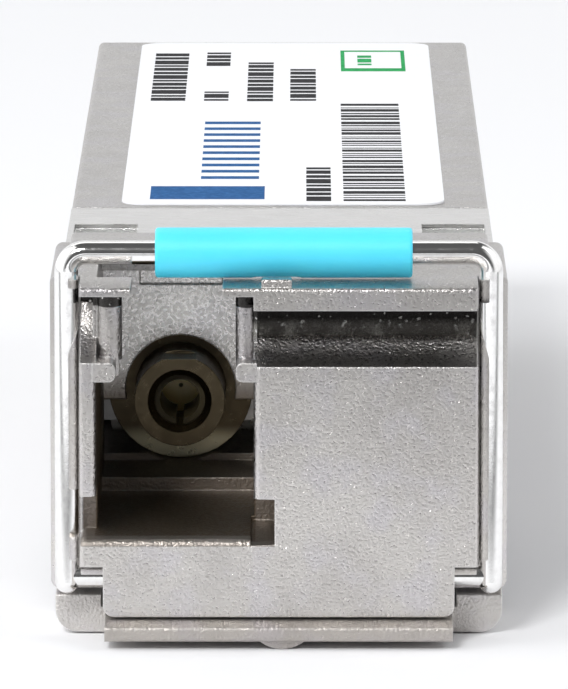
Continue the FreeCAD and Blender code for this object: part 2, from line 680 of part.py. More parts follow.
def receptacle_barrel():
    """Turned barrel with three flanges; the bore has a lip that keeps the sleeve in."""
    stretches = ((BARREL_R, 0.0, 2.72), (FRONT_FLANGE_R, 2.7, FRONT_FLANGE_BACK), (FLANGE_R, 3.1, 3.6),
                 (NECK_R, 3.5, 4.7), (FLANGE_R, 4.6, 5.6), (1.7, 5.5, OPTICS_FRONT - 0.01))
    solid = joined([rod_y(r, y0, y1, AXIS_X, AXIS_Z) for r, y0, y1 in stretches])
    solid = solid.cut(box(AXIS_X - 2, AXIS_X + 2, -1, 1.2, AXIS_Z + 1.33, AXIS_Z + 3))
    mouth = Part.makeCone(1.0, LIP_R, 0.25, FreeCAD.Vector(AXIS_X, 0, AXIS_Z), FreeCAD.Vector(0, 1, 0))
    lip = rod_y(LIP_R, -0.1, 0.5, AXIS_X, AXIS_Z)
    sleeve_bore = rod_y(SLEEVE_OUT + 0.02, SLEEVE_START - 0.04, OPTICS_FRONT + 1, AXIS_X, AXIS_Z)
    return solid.cut([mouth, lip, sleeve_bore])


def split_sleeve():
    tube = rod_y(SLEEVE_OUT, SLEEVE_START, SLEEVE_END, AXIS_X, AXIS_Z)
    bore = rod_y(SLEEVE_IN, SLEEVE_START - 1, SLEEVE_END + 1, AXIS_X, AXIS_Z)
    slot = box(AXIS_X - 0.11, AXIS_X + 0.11, 0, SLEEVE_END + 1, AXIS_Z - 1, AXIS_Z)
    return tube.cut([bore, slot])


def fibre_stub():
    stub = rod_y(SLEEVE_OUT + 0.015, STUB_FACE, OPTICS_FRONT, AXIS_X, AXIS_Z)
    core = rod_y(0.07, STUB_FACE - 1, OPTICS_FRONT + 1, AXIS_X, AXIS_Z)
    return stub.cut(core)


def receptacle_clamp():
    """Fork that drops over the barrel's neck between its flanges."""
    plate = box(-5.6, -0.65, 3.66, 4.54, 2.3, SPLIT_Z - 0.05)
    radius = NECK_R + 0.03
    slot = box(AXIS_X - radius, AXIS_X + radius, 3, 5, 1, AXIS_Z)
    return plate.cut([slot, rod_y(radius, 3, 5, AXIS_X, AXIS_Z)])


def optics_body():
    """Metal cube with a straight bore for the laser and a side bore for the photodiode."""
    x0, x1 = AXIS_X - OPTICS_HALF, AXIS_X + OPTICS_HALF
    cube = box(x0, x1, OPTICS_FRONT, OPTICS_BACK, AXIS_Z - OPTICS_HALF, AXIS_Z + OPTICS_HALF)
    cube = rounded(cube, 0.5, lambda a, b: near(a.x, b.x) and near(a.z, b.z))
    beyond = OPTICS_BACK + 1
    pocket_r = CAP_R + 0.05
    pocket = CAN_DEPTH + 0.05
    return cube.cut([rod_y(1.0, OPTICS_FRONT - 0.5, beyond, AXIS_X, AXIS_Z),
                     rod_y(pocket_r, OPTICS_BACK - pocket, beyond, AXIS_X, AXIS_Z),
                     rod_x(0.9, AXIS_X, x1 + 1, SIDE_PORT_Y, AXIS_Z),
                     rod_x(pocket_r, x1 - pocket, x1 + 1, SIDE_PORT_Y, AXIS_Z)])


def wavelength_filter():
    plate = box(-0.75, 0.75, -0.1, 0.1, -0.6, 0.6)
    plate.rotate(FreeCAD.Vector(0, 0, 0), FreeCAD.Vector(0, 0, 1), 45)
    plate.translate(FreeCAD.Vector(AXIS_X, SIDE_PORT_Y, AXIS_Z))
    return plate


def ball_lens():
    return Part.makeSphere(LENS_R, FreeCAD.Vector(AXIS_X, OPTICS_BACK - CAN_DEPTH, AXIS_Z))


def laser_can():
    """Header and cap, hollow behind the window that holds the lens."""
    start = OPTICS_BACK
    can = joined([rod_y(CAP_R, start - CAN_DEPTH, start + 0.01, AXIS_X, AXIS_Z),
                  rod_y(CAN_R, start + 0.01, start + CAN_HEIGHT, AXIS_X, AXIS_Z)])
    return can.cut([Part.makeSphere(LENS_R + 0.02, FreeCAD.Vector(AXIS_X, start - CAN_DEPTH, AXIS_Z)),
                    rod_y(1.2, start - 0.5, start + 0.4, AXIS_X, AXIS_Z)])


def photodiode_can():
    start = AXIS_X + OPTICS_HALF
    return joined([rod_x(CAP_R, start - CAN_DEPTH, start + 0.01, SIDE_PORT_Y, AXIS_Z),
                   rod_x(CAN_R, start + 0.01, start + CAN_HEIGHT, SIDE_PORT_Y, AXIS_Z)])


def lead_places():
    for k in range(4):
        turn = math.radians(45 + 90 * k)
        yield LEAD_CIRCLE * math.cos(turn), LEAD_CIRCLE * math.sin(turn)


def laser_leads():
    start = OPTICS_BACK + CAN_HEIGHT + 0.01
    return Part.makeCompound([rod_y(LEAD_R, start, start + 1.79, AXIS_X + a, AXIS_Z + b)
                              for a, b in lead_places()])


def photodiode_leads():
    start = AXIS_X + OPTICS_HALF + CAN_HEIGHT + 0.01
    return Part.makeCompound([rod_x(LEAD_R, start, start + 1.9, SIDE_PORT_Y + a, AXIS_Z + b)
                              for a, b in lead_places()])


def flex_outline(stand, end):
    """A film that stands at one place, folds over and runs level to its end."""
    slope = FLEX_FOLD + 0.05
    level = FLEX_BOTTOM + FLEX_THICK
    return [(stand, FLEX_TOP), (stand, FLEX_BOTTOM + FLEX_FOLD), (stand + FLEX_FOLD, FLEX_BOTTOM),
            (end, FLEX_BOTTOM), (end, level), (stand + slope, level), (stand + FLEX_THICK, level + 0.15),
            (stand + FLEX_THICK, FLEX_TOP)]


def laser_flex():
    """Flexible tail from the laser's leads to the board's underside."""
    y = OPTICS_BACK + 2.1
    tail = slab_x(flex_outline(y, 17.0), AXIS_X - 1.4, AXIS_X + 1.4)
    return tail.cut([rod_y(LEAD_R + 0.02, y - 1, y + 1, AXIS_X + a, AXIS_Z + b) for a, b in lead_places()])


def photodiode_flex():
    """Flexible tail from the photodiode's leads, folded under and run back to the board."""
    x = 1.4
    end = 3.0
    stand = slab_y(flex_outline(x, end), SIDE_PORT_Y - 1.6, SIDE_PORT_Y + 1.6)
    run = box(1.8, end, SIDE_PORT_Y + 1.5, 16.8, FLEX_BOTTOM, FLEX_BOTTOM + FLEX_THICK)
    tail = joined([stand, run])
    return tail.cut([rod_x(LEAD_R + 0.02, 1, 2, SIDE_PORT_Y + a, AXIS_Z + b) for a, b in lead_places()])


# ---- Electronics --------------------------------------------------------------------------------------

def is_tongue_edge(edge):
    at_end = all(near(v.Point.y, BOARD_END) for v in edge.Vertexes)
    return at_end and near(edge.Vertexes[0].Point.z, edge.Vertexes[1].Point.z)


def main_board():
    wide = box(-BOARD_HALF, BOARD_HALF, BOARD_FRONT, BOARD_NARROW, BOARD_BOTTOM, BOARD_TOP)
    tongue = box(-EDGE_HALF, EDGE_HALF, BOARD_NARROW - 1, BOARD_END, BOARD_BOTTOM, BOARD_TOP)
    tongue = tongue.makeChamfer(0.25, [e for e in tongue.Edges if is_tongue_edge(e)])
    notch = box(-BOARD_HALF - 1, -3.2, 32.4, 37.0, BOARD_BOTTOM - 1, BOARD_TOP + 1)
    return joined([wide, tongue]).cut(notch)


def contact_pads():
    pads = []
    half = PAD_WIDTH / 2
    for k in range(PAD_COUNT):
        x = (k - (PAD_COUNT - 1) / 2) * PAD_PITCH
        start = GROUND_PAD_START if k in (0, PAD_COUNT - 1) else SIGNAL_PAD_START
        for z in (BOARD_TOP, BOARD_BOTTOM - PAD_THICK):
            pads.append(box(x - half, x + half, start, PAD_END, z, z + PAD_THICK))
    return Part.makeCompound(pads)


def chip(x, y, size, height, lead_rows):
    """Moulded package on the board's top, with a row of short leads along two sides."""
    half = size / 2
    solids = [box(x - half, x + half, y - half, y + half, BOARD_TOP + 0.05, BOARD_TOP + height)]
    for k in range(lead_rows):
        lead_y = y - half + size * (k + 0.5) / lead_rows
        for side in (-1, 1):
            x0, x1 = sorted((x + side * (half - 0.05), x + side * (half + 0.35)))
            solids.append(box(x0, x1, lead_y - 0.1, lead_y + 0.1, BOARD_TOP + SOLDER, BOARD_TOP + 0.25))
    return joined(solids)


def driver_chip():
    """Bare package under the board, against the thermal pad."""
    return box(-1.9, 1.9, 19.5, 23.3, CHIP_UNDERSIDE, BOARD_BOTTOM - SOLDER)


def amplifier_chip():
    return chip(2.4, 19.0, 3.0, 0.85, 5)


def microcontroller():
    return chip(-1.2, 27.5, 4.6, 0.95, 8)


def chip_capacitors():
    spots = [(-4.4, 17.0 + 1.5 * k) for k in range(6)] + [(3.4, 24.0 + 1.4 * k) for k in range(7)]
    return Part.makeCompound([box(x - 0.5, x + 0.5, y - 0.25, y + 0.25, BOARD_TOP + SOLDER, BOARD_TOP + 0.5)
                              for x, y in spots])


def chip_inductors():
    coils = []
    for x, y in ((-1.8, 17.6), (0.4, 34.6), (2.6, 36.6)):
        body = box(x - 0.8, x + 0.8, y - 0.5, y + 0.5, BOARD_TOP + SOLDER, BOARD_TOP + 0.9)
        coils.append(rounded(body, 0.15, lambda a, b: near(a.x, b.x) and near(a.y, b.y)))
    return Part.makeCompound(coils)


def thermal_pad():
    return box(-1.8, 1.8, 19.6, 23.2, FLOOR_TOP + 0.02, CHIP_UNDERSIDE - 0.02)


# ---- Output -------------------------------------------------------------------------------------------

BUILDERS = (base_housing, top_cover, emi_spring_collar, product_label, cover_gasket, cover_screws,
            bail_wire, bail_grip, release_lever, lever_pivot_pin, latch_spring, receptacle_block,
            receptacle_barrel, split_sleeve, fibre_stub, receptacle_clamp, optics_body, wavelength_filter,
            ball_lens, laser_can, laser_leads, photodiode_can, photodiode_leads, laser_flex,
            photodiode_flex, main_board, contact_pads, driver_chip, amplifier_chip, microcontroller,
            chip_capacitors, chip_inductors, thermal_pad)

os.makedirs("parts", exist_ok=True)
for build in BUILDERS:
    build().exportStep("parts/" + build.__name__ + ".step")
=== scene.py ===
import math

import bpy
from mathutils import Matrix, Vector


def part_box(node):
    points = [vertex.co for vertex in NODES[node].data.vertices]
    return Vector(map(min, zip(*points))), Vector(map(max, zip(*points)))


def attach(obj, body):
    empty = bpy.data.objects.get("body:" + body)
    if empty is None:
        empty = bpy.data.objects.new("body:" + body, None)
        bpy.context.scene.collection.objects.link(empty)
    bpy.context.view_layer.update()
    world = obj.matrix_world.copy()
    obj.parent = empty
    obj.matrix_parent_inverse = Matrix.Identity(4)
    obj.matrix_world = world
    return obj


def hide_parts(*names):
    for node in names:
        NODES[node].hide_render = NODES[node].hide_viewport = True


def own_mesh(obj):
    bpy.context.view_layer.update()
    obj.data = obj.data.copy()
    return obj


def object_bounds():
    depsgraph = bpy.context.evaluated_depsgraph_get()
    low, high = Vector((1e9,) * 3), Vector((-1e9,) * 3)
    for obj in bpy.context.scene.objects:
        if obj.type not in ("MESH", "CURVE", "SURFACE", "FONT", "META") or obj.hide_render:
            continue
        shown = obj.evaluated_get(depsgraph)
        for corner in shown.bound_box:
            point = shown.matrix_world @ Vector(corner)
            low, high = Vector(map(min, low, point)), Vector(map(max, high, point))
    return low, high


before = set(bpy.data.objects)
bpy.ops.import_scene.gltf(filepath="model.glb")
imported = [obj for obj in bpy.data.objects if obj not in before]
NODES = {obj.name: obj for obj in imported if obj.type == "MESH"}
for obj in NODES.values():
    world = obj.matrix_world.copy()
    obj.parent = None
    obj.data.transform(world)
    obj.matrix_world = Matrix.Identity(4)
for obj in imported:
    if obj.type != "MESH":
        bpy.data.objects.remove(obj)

CAD_BOX = [list(corner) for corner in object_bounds()]
MM = 0.001


# ---- Mesh helpers: every length is in millimetres and is turned into metres when the mesh is made --------

def make_piece(name, verts, faces, smooth=True):
    """A mesh object from points in millimetres."""
    mesh = bpy.data.meshes.new(name)
    mesh.from_pydata([Vector(v) * MM for v in verts], [], faces)
    mesh.validate()
    mesh.polygons.foreach_set("use_smooth", [smooth] * len(mesh.polygons))
    piece = bpy.data.objects.new(name, mesh)
    bpy.context.scene.collection.objects.link(piece)
    return piece


def finish_piece(piece, material, node, body):
    """Gives a piece its material, puts it in the place of a CAD node and lets it ride on a body."""
    piece.data.materials.append(material)
    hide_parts(node)
    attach(piece, body)


def node_box(name):
    """A CAD node's lowest and highest corners, in millimetres."""
    low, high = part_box(name)
    return low / MM, high / MM


def clamped(value):
    """The value, kept between 0 and 1."""
    return min(max(value, 0), 1)


def rounded_outline(x0, x1, y0, y1, radius, steps=8):
    """Points round a rectangle with rounded corners, anticlockwise."""
    points = []
    corners = ((x1 - radius, y1 - radius, 0), (x0 + radius, y1 - radius, 90),
               (x0 + radius, y0 + radius, 180), (x1 - radius, y0 + radius, 270))
    for cx, cy, start in corners:
        for k in range(steps + 1):
            turn = math.radians(start + 90 * k / steps)
            points.append((cx + radius * math.cos(turn), cy + radius * math.sin(turn)))
    return points


def ring_faces(rings, count, start=0):
    """Four-sided faces between rings of points that follow each other in the list of points."""
    faces = []
    for ring in range(rings - 1):
        for k in range(count):
            a = start + ring * count + k
            b = start + ring * count + (k + 1) % count
            faces.append([a, b, b + count, a + count])
    return faces


def cap_faces(rings, count, start=0):
    """The two faces that close the first and the last ring."""
    last = start + (rings - 1) * count
    return [[start + k for k in reversed(range(count))], [last + k for k in range(count)]]


def plate(name, outline, z0, z1, crown=0.0):
    """A flat sheet with a slightly crowned rim, from an outline in x and y."""
    count = len(outline)
    cx = sum(x for x, y in outline) / count
    cy = sum(y for x, y in outline) / count
    rings = ((0.0, z0), (0.0, z1 - crown), (crown, z1))
    verts = []
    for inset, z in rings:
        for x, y in outline:
            shrink = 1 - inset / math.hypot(x - cx, y - cy)
            verts.append((cx + (x - cx) * shrink, cy + (y - cy) * shrink, z))
    faces = ring_faces(len(rings), count) + cap_faces(len(rings), count)
    return make_piece(name, verts, faces, smooth=False)


def merge(name, pieces):
    """Joins several mesh objects into one."""
    verts = []
    faces = []
    for piece in pieces:
        start = len(verts)
        verts += [v.co / MM for v in piece.data.vertices]
        faces += [[start + i for i in p.vertices] for p in piece.data.polygons]
        bpy.data.objects.remove(piece)
    return make_piece(name, verts, faces, smooth=False)


# ---- Material graph ---------------------------------------------------------------------------------------

class Look:
    """A procedural material. Coordinates are the piece's own, in millimetres."""

    def __init__(self, name):
        self.mat = bpy.data.materials.new(name)
        self.mat.use_nodes = True
        self.tree = self.mat.node_tree
        self.shader = self.tree.nodes["Principled BSDF"]
        place = self.tree.nodes.new("ShaderNodeTexCoord")
        scale = self.tree.nodes.new("ShaderNodeVectorMath")
        scale.operation = "SCALE"
        scale.inputs["Scale"].default_value = 1 / MM
        self.tree.links.new(place.outputs["Object"], scale.inputs[0])
        self.place = scale.outputs[0]

    def plug(self, socket, value):
        """Links a socket to another one, or sets it to a number or a colour."""
        if isinstance(value, bpy.types.NodeSocket):
            self.tree.links.new(value, socket)
        elif isinstance(value, (tuple, list)) and len(value) == 3 and socket.type == "RGBA":
            socket.default_value = (*value, 1)
        else:
            socket.default_value = value

    def set(self, **inputs):
        """Sets the main shader's inputs; an underscore stands for a space."""
        for key, value in inputs.items():
            self.plug(self.shader.inputs[key.replace("_", " ")], value)

    def stretched(self, factors):
        """The coordinates, scaled along each axis."""
        node = self.tree.nodes.new("ShaderNodeVectorMath")
        node.operation = "MULTIPLY"
        self.plug(node.inputs[0], self.place)
        node.inputs[1].default_value = factors
        return node.outputs[0]

    def noise(self, per_mm, detail=2.0, rough=0.5, stretch=None):
        node = self.tree.nodes.new("ShaderNodeTexNoise")
        self.plug(node.inputs["Vector"], self.stretched(stretch) if stretch else self.place)
        node.inputs["Scale"].default_value = per_mm
        node.inputs["Detail"].default_value = detail
        node.inputs["Roughness"].default_value = rough
        return node.outputs["Fac"]

    def math(self, operation, a, b):
        node = self.tree.nodes.new("ShaderNodeMath")
        node.operation = operation
        self.plug(node.inputs[0], a)
        self.plug(node.inputs[1], b)
        return node.outputs[0]

    def times(self, first, *others):
        """The product of two or more values."""
        product = first
        for other in others:
            product = self.math("MULTIPLY", product, other)
        return product

    def span(self, value, low, high, out_low=0.0, out_high=1.0):
        """Maps low..high smoothly to out_low..out_high."""
        node = self.tree.nodes.new("ShaderNodeMapRange")
        node.interpolation_type = "SMOOTHSTEP"
        for socket, number in zip(node.inputs, (value, low, high, out_low, out_high)):
            self.plug(socket, number)
        return node.outputs[0]

    def vary(self, noise, low, high):
        """Spreads the usual range of a noise over low..high."""
        return self.span(noise, 0.3, 0.7, low, high)

    def mix(self, factor, a, b):
        node = self.tree.nodes.new("ShaderNodeMix")
        node.data_type = "RGBA"
        self.plug(node.inputs["Factor"], factor)
        self.plug(node.inputs["A"], a)
        self.plug(node.inputs["B"], b)
        return node.outputs["Result"]

    def axis(self, letter):
        node = self.tree.nodes.new("ShaderNodeSeparateXYZ")
        self.plug(node.inputs[0], self.place)
        return node.outputs[letter]

    def above(self, letter, level, soft, amount=1.0):
        """0 below a level of one coordinate and the amount above it, fading over soft on either side."""
        return self.span(self.axis(letter), level - soft, level + soft, 0.0, amount)

    def below(self, letter, level, soft, amount=1.0):
        """The amount below a level of one coordinate and 0 above it, fading over soft on either side."""
        return self.span(self.axis(letter), level - soft, level + soft, amount, 0.0)

    def between(self, letter, limits, soft):
        """1 where a coordinate lies between two limits, fading over soft."""
        return self.times(self.above(letter, limits[0], soft), self.below(letter, limits[1], soft))

    def soft_normal(self, radius):
        """The surface normal as if every edge were rounded to this radius."""
        node = self.tree.nodes.new("ShaderNodeBevel")
        node.samples = 6
        node.inputs["Radius"].default_value = radius * MM
        return node.outputs[0]

    def edge_mask(self, radius):
        """1 on edges and 0 on open faces, from the cosine between the rounded and the true normal."""
        bent = 0.80
        flat = 0.995
        geometry = self.tree.nodes.new("ShaderNodeNewGeometry")
        node = self.tree.nodes.new("ShaderNodeVectorMath")
        node.operation = "DOT_PRODUCT"
        self.plug(node.inputs[0], self.soft_normal(radius))
        self.plug(node.inputs[1], geometry.outputs["Normal"])
        return self.span(node.outputs["Value"], bent, flat, 1.0, 0.0)

    def bump(self, height, depth, normal=None):
        """Raises the surface by height (0..1) times depth in millimetres."""
        node = self.tree.nodes.new("ShaderNodeBump")
        node.inputs["Strength"].default_value = 1.0
        node.inputs["Distance"].default_value = depth * MM
        self.plug(node.inputs["Height"], height)
        if normal is not None:
            self.plug(node.inputs["Normal"], normal)
        return node.outputs[0]


# ---- Cast metal -------------------------------------------------------------------------------------------

NICKEL_DARK = (0.62, 0.595, 0.575)
NICKEL_LIGHT = (0.70, 0.675, 0.65)
NICKEL_COOL = (0.67, 0.645, 0.655)
# Painted highlight: the colour mixed in on edges
NICKEL_EDGE_HIGHLIGHT = (0.93, 0.92, 0.90)
# Painted shade: the dark grey mixed in higher up
NICKEL_UPPER_SHADE = (0.14, 0.135, 0.13)
# Painted shade: the brown grey that the shade masks darken towards
NICKEL_PAINTED_SHADE = (0.17, 0.135, 0.10)
CAST_EDGE_R = 0.08
# Grain: how many bumps to a millimetre, how high they stand and how much the broad ones add
FINE_PER_MM = 11.0
BROAD_PER_MM = 4.5
BROAD_SHARE = 0.25
GRAIN_DEPTH = 0.036
# Roughness: its range on open faces, and what edges, polish and painted shade change
ROUGH_LOW = 0.26
ROUGH_HIGH = 0.40
EDGE_ROUGHER = 0.10
PAINTED_SHADE_ROUGHER = 0.10
POLISH_SMOOTHER = 0.14
POLISH_FLATTENS = 0.75
# Painted shade: the share of dark grey grows from the lower level to the upper one
UPPER_SHADE_Z = (1.0, 9.0)
UPPER_SHADE_SHARES = (0.06, 0.42)

# Places on the casting, in millimetres in the shared frame
PARTING_X = -0.79
NOSE_FRONT_Y = -8.96
GROOVE_BACK_Y = -6.85
GROOVE_Z = (6.85, 8.0)
# Painted shade in the groove deepens between these heights
GROOVE_SHADE_Z = (7.15, 7.45)
RECESS_Z = (7.85, 8.32)
# Painted shade in the groove, pale and deep
GROOVE_SHADE_PALE = (0.36, 0.35, 0.325)
GROOVE_SHADE_DEEP = (0.055, 0.052, 0.05)
# Painted glints on the grain
PAINTED_GLINT = (0.85, 0.84, 0.82)

# Painted shade in the port, its notches and its sill
PORT_X = (-5.62, -0.70)
PORT_Y = -8.85
PORT_Z = (0.6, 5.7)
PORT_FADE = 0.7
PORT_DEEP_Y = (-2.0, 0.0)
PORT_DEEP_SHADE = 0.45
NOTCH_X = (-5.99, -0.13)
NOTCH_Y = -8.95
NOTCH_Z = (0.6, 2.17)
NOTCH_SHADE = 0.8
SILL_X = (-6.03, -0.12)
SILL_BACK_Y = -7.95
SILL_Z = (0.64, 0.97)
SILL_SHADE = 0.65

LIP_HALF = 5.32
LIP_BACK_Y = -6.95
LIP_SHADE = 0.42
WALL_LOW_Z = 3.8
WALL_FADE = 0.8
WALL_SHADE = 0.92
WALL_POLISH = 0.34
WALL_TONE = (1.0, 1.0, 0.99)
PITS_Y = (2.5, 4.5)
PITS_Z = (7.9, 8.345)
# Painted light in the cover's pits
PIT_PAINTED_LIGHT = (0.88, 0.88, 0.87)


def nickel_color(look, edge, upper_shade_offset):
    """Warm grey with faint clouds, a painted highlight on edges and painted shade that grows higher up."""
    clouds = look.span(look.noise(0.35, 3.0, 0.6), 0.35, 0.65)
    cool_spots = look.span(look.noise(0.8, 2.0), 0.45, 0.7)
    tint = look.mix(cool_spots, look.mix(clouds, NICKEL_DARK, NICKEL_LIGHT), NICKEL_COOL)
    # Painted shade, growing towards the top
    upper_shade = look.math("ADD", upper_shade_offset, look.span(look.axis("Z"), *UPPER_SHADE_Z, *UPPER_SHADE_SHARES))
    return look.mix(upper_shade, look.mix(edge, tint, NICKEL_EDGE_HIGHLIGHT), NICKEL_UPPER_SHADE)


def cast_nickel(name, grain=GRAIN_DEPTH, shade=None, smooth=None, matte=0.0, upper_shade_offset=0.0):
    """Nickel-plated zinc casting with a spark-eroded grain.

    smooth(look) tells where the metal is polished and in what colour, a colour that carries painted shade in
    the groove and painted light in the cover's pits; shade(look) tells where painted shade darkens it; the
    last argument moves the painted shade that grows higher up.
    """
    look = Look(name)
    fine = look.noise(FINE_PER_MM, rough=0.55)
    broad = look.noise(BROAD_PER_MM)
    relief = look.math("ADD", fine, look.times(broad, BROAD_SHARE))
    edge = look.edge_mask(CAST_EDGE_R)
    color = nickel_color(look, edge, upper_shade_offset)
    rough = look.vary(fine, ROUGH_LOW + matte, ROUGH_HIGH + matte)
    if smooth is not None:
        polish, tone_and_painted_light = smooth(look)
        relief = look.times(relief, look.math("SUBTRACT", 1.0, look.times(polish, POLISH_FLATTENS)))
        rough = look.math("SUBTRACT", rough, look.times(polish, POLISH_SMOOTHER))
        color = look.mix(polish, color, tone_and_painted_light)
    rough = look.math("ADD", rough, look.times(edge, EDGE_ROUGHER))
    if shade is not None:
        # Painted shade
        painted_shade = shade(look)
        color = look.mix(painted_shade, color, NICKEL_PAINTED_SHADE)
        rough = look.math("ADD", rough, look.times(painted_shade, PAINTED_SHADE_ROUGHER))
    look.set(Base_Color=color, Metallic=1.0, Roughness=rough,
             Normal=look.bump(relief, grain, look.soft_normal(CAST_EDGE_R)))
    return look.mat


def groove_polish_and_shade(look):
    """The finger groove and the recess beside the port are smooth, with painted shade that deepens towards
    the overhang and painted glints on the grain; the recess is painted dark as shadow.
    """
    front = look.times(look.above("Y", NOSE_FRONT_Y, 0.03), look.below("Y", GROOVE_BACK_Y, 0.05))
    groove = look.times(look.between("Z", GROOVE_Z, 0.12), look.above("X", PARTING_X, 0.03))
    recess_shadow = look.times(look.between("Z", RECESS_Z, 0.02), look.below("X", PARTING_X, 0.03))
    # Painted shade, deeper towards the overhang
    tone_and_painted_light = look.mix(look.span(look.axis("Z"), *GROOVE_SHADE_Z), GROOVE_SHADE_PALE, GROOVE_SHADE_DEEP)
    # Painted glints
    glints = look.span(look.noise(6.0, 1.0), 0.66, 0.70)
    return look.times(front, look.math("ADD", groove, recess_shadow)), look.mix(glints, tone_and_painted_light, PAINTED_GLINT)


def inside(look, across, front, tall):
    """1 behind an opening, where it fades in behind the opening's front, and 0 elsewhere."""
    along = look.span(look.axis("Y"), front, front + PORT_FADE)
    return look.times(look.between("X", across, 0.03), along, look.between("Z", tall, 0.06))


def port_shade(look):
    """Painted shade in the port, its corner notches and its sill, weaker towards the back of the port."""
    port = inside(look, PORT_X, PORT_Y, PORT_Z)
    port = look.times(port, look.span(look.axis("Y"), *PORT_DEEP_Y, 1.0, PORT_DEEP_SHADE))
    notches = look.times(inside(look, NOTCH_X, NOTCH_Y, NOTCH_Z), NOTCH_SHADE)
    ridge = look.times(look.between("X", SILL_X, 0.01), look.between("Z", SILL_Z, 0.02))
    sill = look.times(ridge, look.below("Y", SILL_BACK_Y, 0.05, SILL_SHADE))
    return look.math("MAXIMUM", look.math("MAXIMUM", port, sill), notches)


def lip_shade(look):
    """Slightly darkens the lever's lip between its two ends."""
    across = look.between("X", (-LIP_HALF, LIP_HALF), 0.01)
    return look.times(across, look.below("Y", LIP_BACK_Y, 0.05, LIP_SHADE))


def wall_polish(look):
    """The inner wall is brighter and finer than the rest of the casting, evenly all over."""
    return WALL_POLISH, WALL_TONE


def wall_shade(look):
    """Darkens the inner wall towards its lower end."""
    return look.below("Z", WALL_LOW_Z, WALL_FADE, WALL_SHADE)


def pit_painted_light(look):
    """Painted light on the cover's pressed pits, seen through the collar's windows against the collar's
    shade; the pits are smoothed too.
    """
    pits = look.times(look.between("Y", PITS_Y, 0.02), look.between("Z", PITS_Z, 0.01))
    return pits, PIT_PAINTED_LIGHT


# ---- Other materials --------------------------------------------------------------------------------------

TOOL_LINES = (3.0, 30.0, 3.0)
TOOL_EDGE_R = 0.04
# Painted shade on the barrel's front face and bore, painted light on its lower flange
BARREL_SHADED = ((0.065, 0.052, 0.033), (0.10, 0.08, 0.05))
BARREL_LIT = ((0.44, 0.41, 0.28), (0.56, 0.52, 0.38))
BARREL_BORE_SHADED = (0.12, 0.095, 0.055)
BORE_X = (-4.12, -2.13)
BORE_Z = (2.55, 4.55)
BORE_FRONT_Y = 0.06
FLANGE_LOW_Z = 2.05
FLANGE_FRONT_Y = 1.7


def spring_sheet():
    """Rolled and plated spring sheet: faint lines across it."""
    look = Look("spring_sheet")
    lines = look.noise(1.0, 3.0, 0.6, stretch=(1.5, 24.0, 24.0))
    cloud = look.noise(0.6, 2.0)
    color = look.mix(cloud, (0.56, 0.55, 0.54), (0.66, 0.65, 0.64))
    look.set(Base_Color=color, Metallic=1.0, Roughness=look.vary(lines, 0.24, 0.38),
             Normal=look.bump(lines, 0.0015, look.soft_normal(TOOL_EDGE_R)))
    return look.mat


def polished_wire():
    """Bright drawn wire with handling marks."""
    look = Look("polished_wire")
    marks = look.noise(3.0, 4.0, 0.65)
    fine = look.noise(16.0, 2.0)
    color = look.mix(look.span(marks, 0.4, 0.75), (0.93, 0.925, 0.915), (0.84, 0.83, 0.82))
    look.set(Base_Color=color, Metallic=1.0, Roughness=look.span(marks, 0.35, 0.75, 0.09, 0.15),
             Normal=look.bump(fine, 0.0004))
    return look.mat


def grip_rubber():
    """Pale cyan soft moulding with a satin skin."""
    look = Look("grip_rubber")
    skin = look.noise(14.0, 2.0, 0.5)
    cloud = look.noise(0.7, 2.0)
    color = look.mix(cloud, (0.080, 0.70, 0.96), (0.10, 0.76, 1.0))
    look.set(Base_Color=color, Roughness=look.vary(skin, 0.42, 0.52), Subsurface_Weight=0.25,
             Subsurface_Radius=(0.0002, 0.0004, 0.0005), Subsurface_Scale=1.0,
             Normal=look.bump(skin, 0.002))
    return look.mat


def label_film():
    """White printed film with a faint orange-peel sheen."""
    look = Look("label_film")
    peel = look.noise(1.6, 2.0, 0.5)
    fibre = look.noise(9.0, 2.0)
    color = look.mix(fibre, (0.86, 0.87, 0.90), (0.90, 0.91, 0.935))
    look.set(Base_Color=color, Roughness=look.vary(peel, 0.30, 0.42), Normal=look.bump(peel, 0.002))
    return look.mat


def print_ink(name, color):
    """Printed ink with slightly uneven density."""
    look = Look(name)
    density = look.noise(6.0, 3.0, 0.6)
    light = tuple(c * 1.5 + 0.02 for c in color)
    look.set(Base_Color=look.mix(look.span(density, 0.35, 0.8), color, light), Roughness=0.7,
             Specular_IOR_Level=0.1, Normal=look.bump(density, 0.0008))
    return look.mat


def tooled(look, color, lines, rough_low, rough_high):
    """Finishes a metal look with fine tool lines."""
    look.set(Base_Color=color, Metallic=1.0, Roughness=look.vary(lines, rough_low, rough_high),
             Normal=look.bump(lines, 0.001, look.soft_normal(TOOL_EDGE_R)))
    return look.mat


def machined(name, dark, bright, rough_low, rough_high):
    """Turned or milled metal."""
    look = Look(name)
    lines = look.noise(1.0, 3.0, 0.6, stretch=TOOL_LINES)
    color = look.mix(look.noise(0.9, 2.0), dark, bright)
    return tooled(look, color, lines, rough_low, rough_high)


def turned_barrel():
    """Turned steel, painted dark brown as shade on its front face and slightly lighter in the bore, with
    painted light low on the flange.
    """
    look = Look("barrel_steel")
    lines = look.noise(1.0, 3.0, 0.6, stretch=TOOL_LINES)
    cloud = look.noise(0.9, 2.0)
    # Painted light: the low flange, where light reaches it
    low = look.times(look.below("Z", FLANGE_LOW_Z, 0.3), look.above("Y", FLANGE_FRONT_Y, 0.7))
    bore = look.times(look.above("Y", BORE_FRONT_Y, 0.04), look.between("Z", BORE_Z, 0.02),
                      look.between("X", BORE_X, 0.02))
    shaded_brown = look.mix(bore, look.mix(cloud, *BARREL_SHADED), BARREL_BORE_SHADED)
    color = look.mix(low, shaded_brown, look.mix(cloud, *BARREL_LIT))
    return tooled(look, color, lines, 0.26, 0.38)


